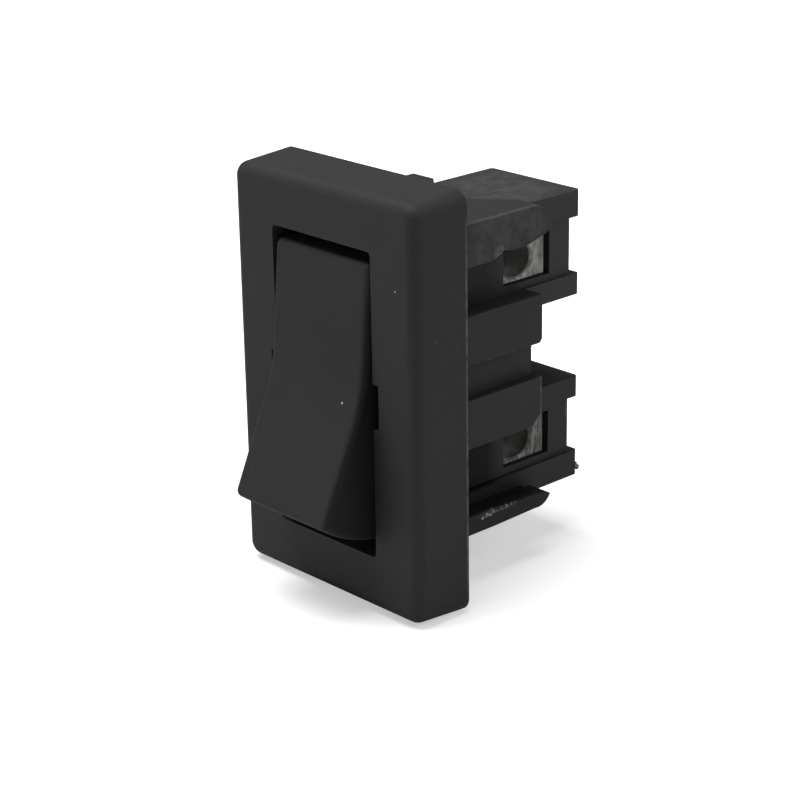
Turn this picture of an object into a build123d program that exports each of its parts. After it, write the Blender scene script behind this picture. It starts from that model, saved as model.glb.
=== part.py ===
from build123d import *
from math import atan2, cos, pi, radians, sin, sqrt, tan
import os

# Small recessed rocker switch with two screw terminals.
# Frame: millimetres, +Z up along the bezel, the front faces -Y, and the origin
# is the middle of the panel's cut-out, in the bezel's back plane, which lies
# against the panel. The rim is a little wider below the cut-out than above it.
# The rest pose has the rocker's top end pressed in.

# Bezel, moulded in one with the housing behind it
bezel_width = 17.46
bezel_height = 28.66
bezel_drop = 0.24
bezel_thickness = 4.55
bezel_side_taper = 0.06
bezel_end_taper = 0.3
bezel_corner_radius = 1.0
bezel_edge_radius = 0.85
bezel_face_wall = 1.6
bezel_rim_wall = 1.45
opening_corner_radius = 0.3

# Rocker, in its own frame round the pivot, untilted
rocker_width = 9.1
rocker_swing_radius = 9.48
rocker_dish_angle = 9.5
rocker_middle_depth = 2.58
rocker_dish_radius = 12.0
rocker_wall = 1.15
rocker_skirt = 1.0
rocker_edge_radius = 0.5
rocker_tilt = 14.6
rocker_side_gap = 0.15
rocker_end_gap = 0.76
rocker_rib = 0.8
rocker_rib_step = 0.2
pivot_depth = 2.8
pivot_radius = 1.15
pivot_length = 0.68
pivot_chamfer = 0.2
pivot_clearance = 0.05
pivot_end_clearance = 0.12
lead_in_width = 3.1
lead_in_depth = 0.52
lead_in_lip = 0.3

# Housing tube behind the bezel
body_width = 12.0
body_height = 21.6
body_root = 1.0
end_wall = 1.0
end_wall_reach = 10.6
end_wall_shoulder = 9.3
notch_depth = 4.85
notch_radius = 1.5
notch_side_land = 0.6
finger_reach = 9.7
finger_height = 9.2
finger_corner = 0.9
finger_groove_height = 2.44
finger_groove_depth = 0.85
finger_groove_reach = 9.55
finger_groove_corner = 0.25
snap_ridge_width = 5.0
snap_ridge_height = 0.55
snap_ridge_start = 1.3
snap_ridge_length = 2.4
snap_ridge_flat = 0.5
ledge_height = 0.6
ledge_thickness = 1.0

# Corner walls seen from the side, as (depth, height). The lower edge of the upper
# one is broken and ragged on the real moulding, and both have rounded back tips.
upper_ear_low = 7.9
upper_ear_break = (4.9, 7.9)
upper_ear_step = (5.95, 8.45)
upper_ear_ragged = [(6.9, 8.3), (8.2, 8.32), (9.4, 8.67)]
upper_ear_tip_low = (10.5, 9.02)
upper_ear_tip = (10.6, 9.3)
upper_ear_curve = (10.1, 10.2)
lower_ear_top_root = -9.42
lower_ear_top_back = (10.2, -9.75)
lower_ear_tip = (10.6, -9.98)
lower_ear_curve = (10.25, -10.42)
lower_ear_heel = (9.2, -10.7)
lower_ear_flat = 5.0

# Contact base, pushed in from behind
base_width = 8.4
base_clearance = 0.12
base_length_allowance = 0.1
base_front = 1.1
base_back = 15.25
base_end_step = 0.78
tower_inner_edge = 3.0
bridge_back = 9.5
back_recess_depth = 0.75
lip_outer_edge = 8.55
lip_inner_edge = 4.5
side_recess_depth = 0.28
base_edge_radius = 0.3
chamber_width = 6.4
chamber_height = 17.6
chamber_floor = 7.0
terminal_floor_wall = 0.7
window_lip = 0.4

# Terminals
terminal_height = 6.5
block_width = 7.3
block_depth = 4.68
block_height = 2.9
block_clearance = 0.1
block_side_clearance = 0.03
block_chamfer = 0.2
block_nose_radius = 0.3
wire_hole_radius = 1.2
wire_hole_rim = 0.2
wire_hole_from_front = 1.67
screw_radius = 1.0
screw_tip_chamfer = 0.2
screw_head_radius = 1.3
screw_head_height = 1.15
screw_head_chamfer = 0.2
screw_head_lift = 0.25
screw_slot_width = 0.4
screw_slot_depth = 0.5
screw_clearance = 0.05
screw_tip_clearance = 0.06

# Contact parts
strip_thickness = 0.6
strip_width = 4.0
strip_reach = 8.3
strip_corner_radius = 0.5
fixed_strip_overhang = 1.5
fulcrum_foot = 2.1
saddle_thickness = 0.5
saddle_height = 2.6
saddle_gap = 0.15
notch_width = 0.8
blade_thickness = 0.4
blade_width = 3.2
blade_front = 4.55
blade_upper_reach = 5.4
blade_lower_reach = 6.9
blade_corner_radius = 0.6
blade_lug_height = 0.5
blade_lug_overhang = 0.2
blade_tilt = 6.0
blade_seat_gap = 0.05
contact_height = 5.6
contact_radius = 0.95
contact_chamfer = 0.1
contact_head = 0.4
contact_dome = 0.14
contact_gap = 0.05
contact_shank_radius = 0.45
contact_tail_height = 0.2
contact_tail_spread = 0.2
contact_clearance = 0.02
rivet_radius = 0.45
rivet_head_radius = 0.65
rivet_head_height = 0.35
rivet_head_chamfer = 0.15
rivet_bite = 0.45
rivet_end_gap = 0.05
rivet_height = 7.25

# Plunger and its spring, in the rocker's frame
tube_radius = 2.35
tube_reach = 5.0
plunger_radius = 1.6
plunger_clearance = 0.08
plunger_top = 0.9
plunger_bore_radius = 1.15
plunger_bore_end = 4.6
plunger_shoulder = 5.3
plunger_nose_radius = 0.6
plunger_gap = 0.05
spring_radius = 0.9
spring_wire = 0.26
spring_turns = 5.5
spring_sides = 6
spring_steps_per_turn = 12
spring_end_gap = 0.03

# How far one volume runs into the next before they are joined, and past the
# surface that it cuts
bond = 0.3
margin = 1.0

# Worked out from the sizes above
opening_width = rocker_width + 2 * rocker_side_gap
opening_height = 2 * (rocker_swing_radius + rocker_end_gap)
cavity_height = body_height - 2 * end_wall
base_height = cavity_height - 2 * base_clearance - base_length_allowance
slot_width = base_width + 2 * base_clearance
terminal_front = chamber_floor + terminal_floor_wall
window_front = terminal_front + window_lip
block_front = terminal_front + block_clearance / 2
block_back = block_front + block_depth
pocket_back = block_back + block_clearance
wall_back = base_back - back_recess_depth
wire_hole_y = block_front + wire_hole_from_front
strip_front = chamber_floor - strip_thickness
blade_back = blade_front + blade_thickness
blade_pivot_y = blade_back + blade_seat_gap / 2
pocket_end = -rocker_middle_depth + rocker_wall
plunger_reach = pivot_depth + blade_front - plunger_gap


def box(x0, x1, y0, y1, z0, z1):
    """A block between two corners."""
    middle = ((x0 + x1) / 2, (y0 + y1) / 2, (z0 + z1) / 2)
    return Pos(*middle) * Box(abs(x1 - x0), abs(y1 - y0), abs(z1 - z0))


def across(sketch, x0, x1):
    """A side-view sketch, drawn as (y, z), extruded from x0 to x1."""
    return extrude(Plane.YZ.offset(x0) * sketch, x1 - x0)


def backwards(sketch, y0, y1):
    """A front-view sketch, drawn as (x, z), extruded from y0 to y1."""
    return extrude(Plane.XZ.offset(-y0) * sketch, y0 - y1)


def rod_x(x0, x1, y, z, radius):
    """A round rod along X."""
    return Pos((x0 + x1) / 2, y, z) * Rot(0, 90, 0) * Cylinder(radius, abs(x1 - x0))


def rod_y(y0, y1, x, z, radius):
    """A round rod along Y."""
    return Pos(x, (y0 + y1) / 2, z) * Rot(90, 0, 0) * Cylinder(radius, abs(y1 - y0))


def both_ends(shape):
    """The shape and its mirror image below the middle."""
    return shape + mirror(shape, about=Plane.XY)


def both_sides(shape):
    """The shape and its mirror image on the left."""
    return shape + mirror(shape, about=Plane.YZ)


def notch_outline(clearance):
    """The V-shaped cut in the back edge of the housing's end walls, seen from above."""
    rim = end_wall_reach
    half = body_width / 2 - notch_side_land
    run = clearance / sin(atan2(half, notch_depth))
    corners = [(-half, rim + run), (0, rim - notch_depth + run), (half, rim + run)]
    back = [(half, base_back + margin), (-half, base_back + margin)]
    outline = make_face(Polyline(*corners, *back, close=True))
    tip = outline.vertices().sort_by(Axis.Y)[0]
    return fillet(tip, notch_radius)


def make_bezel():
    """The front plate: tapered sides, round corners, soft front edge, cored out behind."""
    half_width = bezel_width / 2
    half_height = bezel_height / 2
    plan = Polyline(
        (-half_width, 0), (half_width, 0), (half_width - bezel_side_taper, -bezel_thickness),
        (-half_width + bezel_side_taper, -bezel_thickness), close=True)
    plate = extrude(Plane.XY.offset(-half_height) * make_face(plan), bezel_height)
    side = Polyline(
        (0, -half_height), (0, half_height), (-bezel_thickness, half_height - bezel_end_taper),
        (-bezel_thickness, -half_height + bezel_end_taper), close=True)
    plate &= across(make_face(side), -half_width, half_width)
    corners = plate.edges().filter_by(lambda e: -bezel_thickness < e.center().Y < -bezel_edge_radius)
    plate = fillet(corners, bezel_corner_radius)
    plate = fillet(plate.faces().sort_by(Axis.Y)[0].edges(), bezel_edge_radius)
    core_depth = bezel_thickness - bezel_face_wall
    core = Rectangle(bezel_width - 2 * bezel_rim_wall, bezel_height - 2 * bezel_rim_wall)
    core = fillet(core.vertices(), bezel_corner_radius / 2)
    core = backwards(core, -core_depth, margin)
    walls = backwards(Rectangle(body_width, body_height), -core_depth, margin)
    lowered = Pos(0, 0, -bezel_drop)
    return lowered * plate - (lowered * core - walls)


def upper_ear_outline():
    """Side view of the upper corner wall, with the broken lower edge of the real moulding."""
    top = body_height / 2
    return make_face([
        Line((0, top), (0, upper_ear_low)),
        Line((0, upper_ear_low), upper_ear_break),
        Line(upper_ear_break, upper_ear_step),
        Spline(upper_ear_step, *upper_ear_ragged, upper_ear_tip_low),
        Line(upper_ear_tip_low, upper_ear_tip),
        ThreePointArc(upper_ear_tip, upper_ear_curve, (end_wall_shoulder, top)),
        Line((end_wall_shoulder, top), (0, top)),
    ])


def lower_ear_outline():
    """Side view of the lower corner wall, thinner towards its rounded tip."""
    low = -body_height / 2
    return make_face([
        Line((0, low), (0, lower_ear_top_root)),
        Line((0, lower_ear_top_root), lower_ear_top_back),
        Line(lower_ear_top_back, lower_ear_tip),
        ThreePointArc(lower_ear_tip, lower_ear_curve, lower_ear_heel),
        Line(lower_ear_heel, (lower_ear_flat, low)),
        Line((lower_ear_flat, low), (0, low)),
    ])


def make_housing():
    """Bezel and housing in one moulding: end walls with ears, side fingers, rocker tunnel."""
    half_width = body_width / 2
    half_height = body_height / 2
    slot = slot_width / 2
    cavity = cavity_height / 2
    tube = box(-half_width, half_width, -bezel_face_wall, body_root, -half_height, half_height)
    ears = across(upper_ear_outline(), -half_width, half_width)
    ears += across(lower_ear_outline(), -half_width, half_width)
    notch = extrude(Plane.XY.offset(-half_height - margin) * notch_outline(0),
                    body_height + 2 * margin)
    notch &= both_ends(box(-half_width, half_width, 0, base_back, cavity, half_height + margin))
    finger = finger_height / 2
    side = Polyline(
        (0, finger), (finger_reach, finger), (finger_reach, -finger + finger_corner),
        (finger_reach - finger_corner, -finger), (0, -finger), close=True)
    fingers = across(make_face(side), -half_width, half_width)
    groove = finger_groove_height / 2
    floor = half_width - finger_groove_depth
    channel = Polyline(
        (body_root, -groove), (finger_reach + margin, -groove),
        (finger_reach + margin, groove + finger_groove_corner),
        (finger_reach, groove + finger_groove_corner),
        (finger_reach - finger_groove_corner, groove), (body_root, groove), close=True)
    fingers -= both_sides(across(make_face(channel), floor, half_width + margin))
    fingers -= box(-half_width, half_width, finger_groove_reach, finger_reach + margin,
                   -groove, groove)
    ridge = Polyline(
        (snap_ridge_start, half_height - bond),
        (snap_ridge_start, half_height + snap_ridge_height),
        (snap_ridge_start + snap_ridge_flat, half_height + snap_ridge_height),
        (snap_ridge_start + snap_ridge_length, half_height - bond), close=True)
    ridges = both_ends(across(make_face(ridge), -snap_ridge_width / 2, snap_ridge_width / 2))
    shell = make_bezel() + tube + ears + fingers
    shell -= box(-slot, slot, base_front, base_back, -cavity, cavity)
    tunnel = opening_width / 2
    shell -= box(-tunnel, tunnel, -bezel_face_wall / 2 - bond, base_front, -cavity, cavity)
    mouth = RectangleRounded(opening_width, opening_height, opening_corner_radius)
    shell -= backwards(mouth, -bezel_thickness - margin, -bezel_face_wall / 2)
    shell -= notch
    ledge = box(-tunnel, tunnel, base_front - ledge_thickness, base_front,
                cavity - ledge_height, cavity + bond)
    shell += both_ends(ledge) + ridges
    hole_end = rocker_width / 2 + pivot_length + pivot_end_clearance
    hole = rod_x(0, hole_end, -pivot_depth, 0, pivot_radius + pivot_clearance)
    ramp = Polyline(
        (0, -bezel_thickness - margin), (tunnel + lead_in_depth, -bezel_thickness - margin),
        (tunnel + lead_in_depth, -bezel_thickness + lead_in_lip), (tunnel, -pivot_depth),
        (0, -pivot_depth), close=True)
    lead_in = extrude(Plane.XY.offset(-lead_in_width / 2) * make_face(ramp), lead_in_width)
    return shell - both_sides(hole + lead_in)


def rocker_corner(inset):
    """Front end corner (y, z) of the rocker's side view, moved inwards by inset."""
    slope = tan(radians(rocker_dish_angle))
    middle = -rocker_middle_depth + inset / cos(radians(rocker_dish_angle))
    radius = rocker_swing_radius - inset
    square = 1 + slope ** 2
    root = sqrt((middle * slope) ** 2 - square * (middle ** 2 - radius ** 2))
    height = (middle * slope + root) / square
    return middle - height * slope, height


def rocker_outline(inset, back):
    """Side view of the rocker: a shallow V in front and ends round the pivot."""
    front_y, front_z = rocker_corner(inset)
    radius = rocker_swing_radius - inset
    middle = (-rocker_middle_depth + inset / cos(radians(rocker_dish_angle)), 0)
    back_z = sqrt(radius ** 2 - back ** 2)
    outline = make_face([
        Line((front_y, -front_z), middle),
        Line(middle, (front_y, front_z)),
        RadiusArc((front_y, front_z), (back, back_z), radius),
        Line((back, back_z), (back, -back_z)),
        RadiusArc((back, -back_z), (front_y, -front_z), radius),
    ])
    dish = outline.vertices().sort_by_distance((*middle, 0))[0]
    return fillet(dish, rocker_dish_radius + inset)


def tilted(shape):
    """A piece drawn round the rocker's pivot, set in place at the rest pose."""
    return Pos(0, -pivot_depth, 0) * Rot(-rocker_tilt, 0, 0) * shape


def make_rocker():
    """Hollow rocker with its pivot bosses, spring tube and cross ribs."""
    half = rocker_width / 2
    body = across(rocker_outline(0, rocker_skirt), -half, half)
    front = body.edges().filter_by(lambda e: e.center().Y < -rocker_middle_depth / 2)
    body = fillet(front, rocker_edge_radius)
    inner = half - rocker_wall
    hollow = across(rocker_outline(rocker_wall, rocker_skirt + margin), -inner, inner)
    tube = rod_y(pocket_end - bond, tube_reach, 0, 0, tube_radius)
    rib = box(-inner - bond, inner + bond, pocket_end - bond, rocker_skirt,
              -rocker_rib / 2, rocker_rib / 2)
    reach = rocker_corner(rocker_wall)[1]
    long_rib = box(-rocker_rib / 2, rocker_rib / 2, pocket_end - bond,
                   rocker_skirt - rocker_rib_step, -reach, reach)
    within = across(rocker_outline(rocker_wall / 2, tube_reach), -half, half)
    body = body - hollow + ((tube + rib + long_rib) & within)
    body -= rod_y(pocket_end, tube_reach + margin, 0, 0, plunger_radius + plunger_clearance)
    boss = rod_x(half - bond, half + pivot_length, 0, 0, pivot_radius)
    boss = chamfer(boss.edges().sort_by(Axis.X)[-1], pivot_chamfer)
    return tilted(body + both_sides(boss))


def make_plunger():
    """Hollow plunger with a round nose that runs on the contact blade."""
    nose_centre = plunger_reach - plunger_nose_radius
    outline = make_face([
        Line((plunger_bore_radius, plunger_top), (plunger_radius, plunger_top)),
        Line((plunger_radius, plunger_top), (plunger_radius, plunger_shoulder)),
        Line((plunger_radius, plunger_shoulder), (plunger_nose_radius, nose_centre)),
        ThreePointArc(
            (plunger_nose_radius, nose_centre),
            (plunger_nose_radius * sin(pi / 4), nose_centre + plunger_nose_radius * cos(pi / 4)),
            (0, plunger_reach)),
        Line((0, plunger_reach), (0, plunger_bore_end)),
        Line((0, plunger_bore_end), (plunger_bore_radius, plunger_bore_end)),
        Line((plunger_bore_radius, plunger_bore_end), (plunger_bore_radius, plunger_top)),
    ])
    return tilted(revolve(outline, Axis.Y))


def make_spring():
    """Coil spring between the rocker's pocket and the plunger's bore, in short straight lengths."""
    low = pocket_end + spring_wire / 2 + spring_end_gap
    high = plunger_bore_end - spring_wire / 2 - spring_end_gap
    rise = (high - low) / spring_turns
    steps = round(spring_turns * spring_steps_per_turn)
    sections = []
    for step in range(steps + 1):
        angle = 2 * pi * step / spring_steps_per_turn
        outwards = Vector(cos(angle), 0, -sin(angle))
        place = outwards * spring_radius + Vector(0, low + rise * angle / (2 * pi), 0)
        along = Vector(-sin(angle), rise / (2 * pi * spring_radius), -cos(angle))
        section = RegularPolygon(spring_wire / 2, spring_sides)
        sections.append(Plane(origin=place, x_dir=outwards, z_dir=along) * section)
    return tilted(loft(sections, ruled=True))


def make_base():
    """Moulded contact base: front chamber, bridge, and two terminal towers behind."""
    half = base_width / 2
    top = base_height / 2
    tower = Polyline(
        (base_front, 0), (base_front, top), (base_back, top), (base_back, lip_outer_edge),
        (wall_back, lip_outer_edge), (wall_back, lip_inner_edge), (base_back, lip_inner_edge),
        (base_back, tower_inner_edge), (bridge_back, tower_inner_edge), (bridge_back, 0),
        close=True)
    body = across(make_face(tower), -half, half)
    pad = extrude(Plane.XY.offset(top - bond) * notch_outline(base_clearance),
                  base_end_step + bond)
    pad &= box(-half, half, base_front, base_back, 0, body_height)
    body += pad
    corners = body.edges().filter_by(Axis.Z).group_by(Axis.Y)[-1]
    body = fillet(corners, base_edge_radius)
    body -= both_sides(box(half - side_recess_depth, half + margin, base_front - margin,
                           wall_back, lip_inner_edge, lip_outer_edge))
    chamber = chamber_width / 2
    body -= box(-chamber, chamber, base_front - margin, chamber_floor, -margin,
                chamber_height / 2)
    pocket = block_height / 2 + block_clearance
    pocket_side = block_width / 2 + block_side_clearance
    body -= box(-pocket_side, pocket_side, terminal_front, pocket_back,
                terminal_height - pocket, terminal_height + pocket)
    body -= box(-half - margin, half + margin, window_front, pocket_back,
                terminal_height - pocket, terminal_height + pocket)
    body -= rod_y(pocket_back - bond, wall_back + margin, 0, terminal_height,
                  screw_head_radius + screw_clearance)
    body -= rod_y(chamber_floor - bond, terminal_front + bond, 0, rivet_height,
                  rivet_radius + contact_clearance)
    return both_ends(body)


def make_block(side):
    """Terminal block with its cross wire hole, screw hole and rivet hole, drawn as the upper one."""
    half_width = block_width / 2
    half_height = block_height / 2
    block = box(-half_width, half_width, block_front, block_back,
                terminal_height - half_height, terminal_height + half_height)
    block = chamfer(block.edges().filter_by(Axis.Z), block_chamfer)
    block -= rod_x(-half_width - margin, half_width + margin, wire_hole_y, terminal_height,
                   wire_hole_radius)
    rims = block.edges().filter_by(GeomType.CIRCLE).group_by(Axis.X)
    block = chamfer(rims[0] + rims[-1], wire_hole_rim)
    block = fillet(block.edges().filter_by(Axis.X).group_by(Axis.Y)[0], block_nose_radius)
    block -= rod_y(wire_hole_y, block_back + margin, 0, terminal_height,
                   screw_radius + screw_clearance)
    block -= rod_y(block_front - margin, block_front + rivet_bite, 0, rivet_height,
                   rivet_radius + contact_clearance)
    return block if side > 0 else mirror(block, about=Plane.XY)


def make_screw(side):
    """Slotted terminal screw, backed off so that the wire hole is open."""
    tip = wire_hole_y + wire_hole_radius + screw_tip_clearance
    head_front = block_back + screw_head_lift
    head_back = head_front + screw_head_height
    shank = rod_y(tip, head_front + bond, 0, terminal_height, screw_radius)
    shank = chamfer(shank.edges().sort_by(Axis.Y)[0], screw_tip_chamfer)
    head = rod_y(head_front, head_back, 0, terminal_height, screw_head_radius)
    head = chamfer(head.edges().sort_by(Axis.Y)[-1], screw_head_chamfer)
    slot = box(-screw_head_radius - margin, screw_head_radius + margin,
               head_back - screw_slot_depth, head_back + margin,
               terminal_height - screw_slot_width / 2, terminal_height + screw_slot_width / 2)
    screw = shank + head - slot
    return screw if side > 0 else mirror(screw, about=Plane.XY)


def make_rivet(side):
    """Rivet that ties a contact strip to its terminal block through the floor."""
    head = rod_y(strip_front - rivet_head_height, strip_front, 0, rivet_height, rivet_head_radius)
    head = chamfer(head.edges().sort_by(Axis.Y)[0], rivet_head_chamfer)
    shank = rod_y(strip_front - rivet_head_height / 2, block_front + rivet_bite - rivet_end_gap,
                  0, rivet_height, rivet_radius)
    rivet = head + shank
    return rivet if side > 0 else mirror(rivet, about=Plane.XY)


def rivet_hole(side):
    """Clearance hole for a rivet's shank in a strip."""
    return rod_y(strip_front - margin, chamber_floor + margin, 0, side * rivet_height,
                 rivet_radius + contact_clearance)


def make_fulcrum_strip():
    """Upper strip, folded up at its foot into the two saddle ears that carry the blade."""
    half = strip_width / 2
    strip = box(-half, half, strip_front, chamber_floor, -fulcrum_foot, strip_reach)
    inner = blade_width / 2 + saddle_gap
    saddle_front = strip_front - saddle_height
    ear = box(inner, inner + saddle_thickness, saddle_front, chamber_floor,
              -fulcrum_foot, fulcrum_foot)
    seat = blade_back + blade_seat_gap
    mouth = saddle_front - margin
    spread = notch_width / 2 + seat - mouth
    cut = Polyline((seat, -notch_width / 2), (seat, notch_width / 2), (mouth, spread),
                   (mouth, -spread), close=True)
    ear -= across(make_face(cut), inner - margin, inner + saddle_thickness + margin)
    return strip + both_sides(ear) - rivet_hole(1)


def make_fixed_strip():
    """Lower strip that carries the fixed contact."""
    half = strip_width / 2
    strip = box(-half, half, strip_front, chamber_floor, -strip_reach,
                -contact_height + fixed_strip_overhang)
    strip = fillet(strip.edges().filter_by(Axis.Y), strip_corner_radius)
    strip -= rod_y(strip_front - margin, chamber_floor + margin, 0, -contact_height,
                   contact_shank_radius + contact_clearance)
    return strip - rivet_hole(-1)


def blade_at_rest(shape):
    """A piece drawn on the untilted blade, turned to the rest pose."""
    turned = Rot(blade_tilt, 0, 0) * Pos(0, -blade_pivot_y, 0) * shape
    return Pos(0, blade_pivot_y, 0) * turned


def make_blade():
    """Rocking contact blade with two lugs that sit in the saddle."""
    half = blade_width / 2
    blade = box(-half, half, blade_front, blade_back, -blade_lower_reach, blade_upper_reach)
    blade = fillet(blade.edges().filter_by(Axis.Y), blade_corner_radius)
    lug = half + saddle_gap + saddle_thickness + blade_lug_overhang
    blade += box(-lug, lug, blade_front, blade_back, -blade_lug_height / 2, blade_lug_height / 2)
    blade -= rod_y(blade_front - margin, blade_back + margin, 0, -contact_height,
                   contact_shank_radius + contact_clearance)
    return blade_at_rest(blade)


def make_moving_contact():
    """Silver contact riveted through the blade."""
    head = rod_y(blade_back, blade_back + contact_head, 0, -contact_height, contact_radius)
    head = chamfer(head.edges().sort_by(Axis.Y)[-1], contact_chamfer)
    shank = rod_y(blade_front, blade_back + contact_head / 2, 0, -contact_height,
                  contact_shank_radius)
    tail = rod_y(blade_front - contact_tail_height, blade_front, 0, -contact_height,
                 contact_shank_radius + contact_tail_spread)
    return blade_at_rest(head + shank + tail)


def make_fixed_contact():
    """Domed silver contact, as high as the closed moving contact leaves room for."""
    tilt = radians(blade_tilt)
    face = blade_back + contact_head - blade_pivot_y
    touch = blade_pivot_y + face * cos(tilt) + contact_height * sin(tilt)
    crown = touch + contact_gap
    ball = (contact_radius ** 2 + contact_dome ** 2) / (2 * contact_dome)
    head = rod_y(crown, strip_front, 0, -contact_height, contact_radius)
    head &= Pos(0, crown + ball, -contact_height) * Sphere(ball)
    shank = rod_y((crown + strip_front) / 2, chamber_floor - contact_gap, 0, -contact_height,
                  contact_shank_radius)
    return head + shank


pieces = {
    "bezel_housing": make_housing,
    "rocker": make_rocker,
    "plunger": make_plunger,
    "plunger_spring": make_spring,
    "contact_base": make_base,
    "upper_terminal_block": lambda: make_block(1),
    "lower_terminal_block": lambda: make_block(-1),
    "upper_terminal_screw": lambda: make_screw(1),
    "lower_terminal_screw": lambda: make_screw(-1),
    "upper_strip_rivet": lambda: make_rivet(1),
    "lower_strip_rivet": lambda: make_rivet(-1),
    "fulcrum_strip": make_fulcrum_strip,
    "fixed_contact_strip": make_fixed_strip,
    "fixed_contact": make_fixed_contact,
    "contact_blade": make_blade,
    "moving_contact": make_moving_contact,
}

os.makedirs("parts", exist_ok=True)
for name, make in pieces.items():
    solid = make()
    export_step(solid, "parts/" + name + ".step")
    print(name, "solids", len(solid.solids()), "volume", round(solid.volume, 2))
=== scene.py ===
import math

import bmesh
import bpy
from bpy.props import FloatProperty, FloatVectorProperty, IntProperty, PointerProperty
from mathutils import Matrix, Vector, noise as lumps


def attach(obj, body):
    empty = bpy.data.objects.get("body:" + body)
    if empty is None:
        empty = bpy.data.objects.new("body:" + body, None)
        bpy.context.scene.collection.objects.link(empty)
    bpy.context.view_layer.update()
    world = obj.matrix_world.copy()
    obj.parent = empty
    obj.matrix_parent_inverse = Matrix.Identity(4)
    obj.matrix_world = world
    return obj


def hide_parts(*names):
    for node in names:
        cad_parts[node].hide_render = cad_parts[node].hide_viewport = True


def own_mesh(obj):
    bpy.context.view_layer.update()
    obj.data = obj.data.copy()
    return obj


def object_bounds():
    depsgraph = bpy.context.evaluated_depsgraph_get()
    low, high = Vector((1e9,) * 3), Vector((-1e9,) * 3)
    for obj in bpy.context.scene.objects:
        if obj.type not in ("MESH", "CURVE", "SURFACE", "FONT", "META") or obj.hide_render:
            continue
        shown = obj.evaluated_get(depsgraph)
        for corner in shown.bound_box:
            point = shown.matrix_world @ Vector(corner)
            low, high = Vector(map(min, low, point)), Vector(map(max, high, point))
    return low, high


bl_info = {
    "name": "Recessed rocker switch",
    "version": (1, 0, 0),
    "blender": (4, 5, 0),
    "location": "3D View > Sidebar > Rocker switch",
    "description": "Finishes a small recessed rocker switch: mouldings, terminals, screws, contacts",
    "category": "Object",
}

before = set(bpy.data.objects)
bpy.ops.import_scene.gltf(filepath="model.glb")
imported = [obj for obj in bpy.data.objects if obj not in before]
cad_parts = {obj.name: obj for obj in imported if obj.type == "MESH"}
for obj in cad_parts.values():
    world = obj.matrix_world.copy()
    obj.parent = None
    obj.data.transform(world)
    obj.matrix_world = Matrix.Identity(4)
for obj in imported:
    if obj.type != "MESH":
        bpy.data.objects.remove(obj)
cad_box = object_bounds()

MM = 0.001
MERGE_DISTANCE = 0.002 * MM
FLAT_ANGLE = math.radians(0.5)
SHARP_ANGLE = math.radians(38)
BLACK = (0.0, 0.0, 0.0)
WHITE = (1.0, 1.0, 1.0, 1.0)
PINHEAD_DUST = (0.2, 0.2, 0.19)
BRIGHT_SPECK = (0.42, 0.42, 0.4)

# Paled places: wear, stress whitening, crumbs, pale lines and painted highlights; middle, half size,
# both in millimetres, and strength
HOUSING_PALE_MARKS = (
    # Pale line round the bezel's back rim
    ((8.73, -0.02, -0.6), (0.30, 0.20, 13.2), 0.62),
    # Stress whitening over the broken upper ear
    ((6.0, 6.8, 9.6), (0.50, 4.6, 1.9), 0.25),
    # Pale rim on the upper ear's broken lower edge: stress whitening and painted highlight
    ((6.0, 5.6, 8.35), (0.25, 0.55, 0.45), 0.75),
    # Painted highlight: pale line along the back edge of a finger
    ((6.0, 9.66, -2.5), (0.20, 0.16, 1.6), 0.55),
    # Pale crumbly patches on the lower ear
    ((6.0, 5.4, -9.65), (0.30, 2.0, 0.25), 0.50),
)
BASE_PALE_MARKS = (
    # Pale smear on the terminal tower
    ((3.92, 14.6, -5.2), (0.30, 0.35, 0.8), 0.70),
    # Paler over the base's top
    ((0.0, 11.0, 10.4), (4.6, 5.0, 0.3), 0.22),
)
# Painted shade in recesses, on sides and low down, written the same way
BASE_SHADE = (
    ((3.95, 4.4, 6.6), (0.40, 3.45, 2.3), 0.32),
    ((3.95, 4.4, -6.6), (0.40, 3.45, 2.3), 0.58),
    ((4.33, 5.2, -9.35), (0.40, 5.4, 0.9), 0.42),
    ((4.33, 6.2, 0.0), (0.60, 6.2, 1.5), 0.35),
    ((4.33, 10.0, -7.0), (0.70, 10.0, 5.2), 0.22),
)
# Painted shade on the ears' tops and inside the rocker's opening
HOUSING_SHADE = (
    ((4.95, 5.6, -9.6), (0.90, 5.7, 0.4), 0.68),
    ((6.0, 6.0, -10.2), (0.35, 6.4, 1.0), 0.25),
    ((0.0, -1.7, 0.0), (4.95, 2.5, 10.6), 0.62),
)
# Painted shade on the rocker's sides
ROCKER_SHADE = (
    ((4.7, -5.0, -2.0), (0.45, 6.0, 10.0), 0.40),
    ((-4.7, -5.0, -2.0), (0.45, 6.0, 10.0), 0.40),
)
# Loose crumbs stuck to the housing and base: middle and size in millimetres
CRUMBS = (
    ((5.95, 3.95, -9.86), 0.30), ((5.93, 4.3, -9.78), 0.42), ((5.95, 4.68, -9.84), 0.32),
    ((5.94, 4.95, -9.66), 0.34), ((5.97, 5.35, -9.72), 0.16), ((5.95, 5.8, -9.7), 0.24),
    ((5.95, 6.25, -9.68), 0.28), ((5.96, 6.75, -9.66), 0.2), ((5.97, 7.1, -9.64), 0.14),
    ((4.2, 15.2, -9.86), 0.42), ((4.12, 15.22, -9.6), 0.2),
)
# Torn lips of the ears on the right side: points and half width in millimetres
TORN_LIPS = (
    (((6.0, 4.9, 7.9), (6.0, 5.45, 8.2), (6.0, 5.95, 8.47)), 0.075),
    (((6.0, 5.95, 8.47), (6.0, 6.9, 8.3), (6.0, 8.2, 8.32), (6.0, 9.4, 8.67), (6.0, 10.45, 9.02)), 0.05),
    (((6.0, 3.6, -9.54), (6.0, 5.2, -9.61), (6.0, 7.2, -9.67), (6.0, 9.2, -9.73)), 0.05),
)
# Seed of the lips' sway. Zero would stand for the clock's time, which differs each run
LIP_SEED = 1
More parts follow.
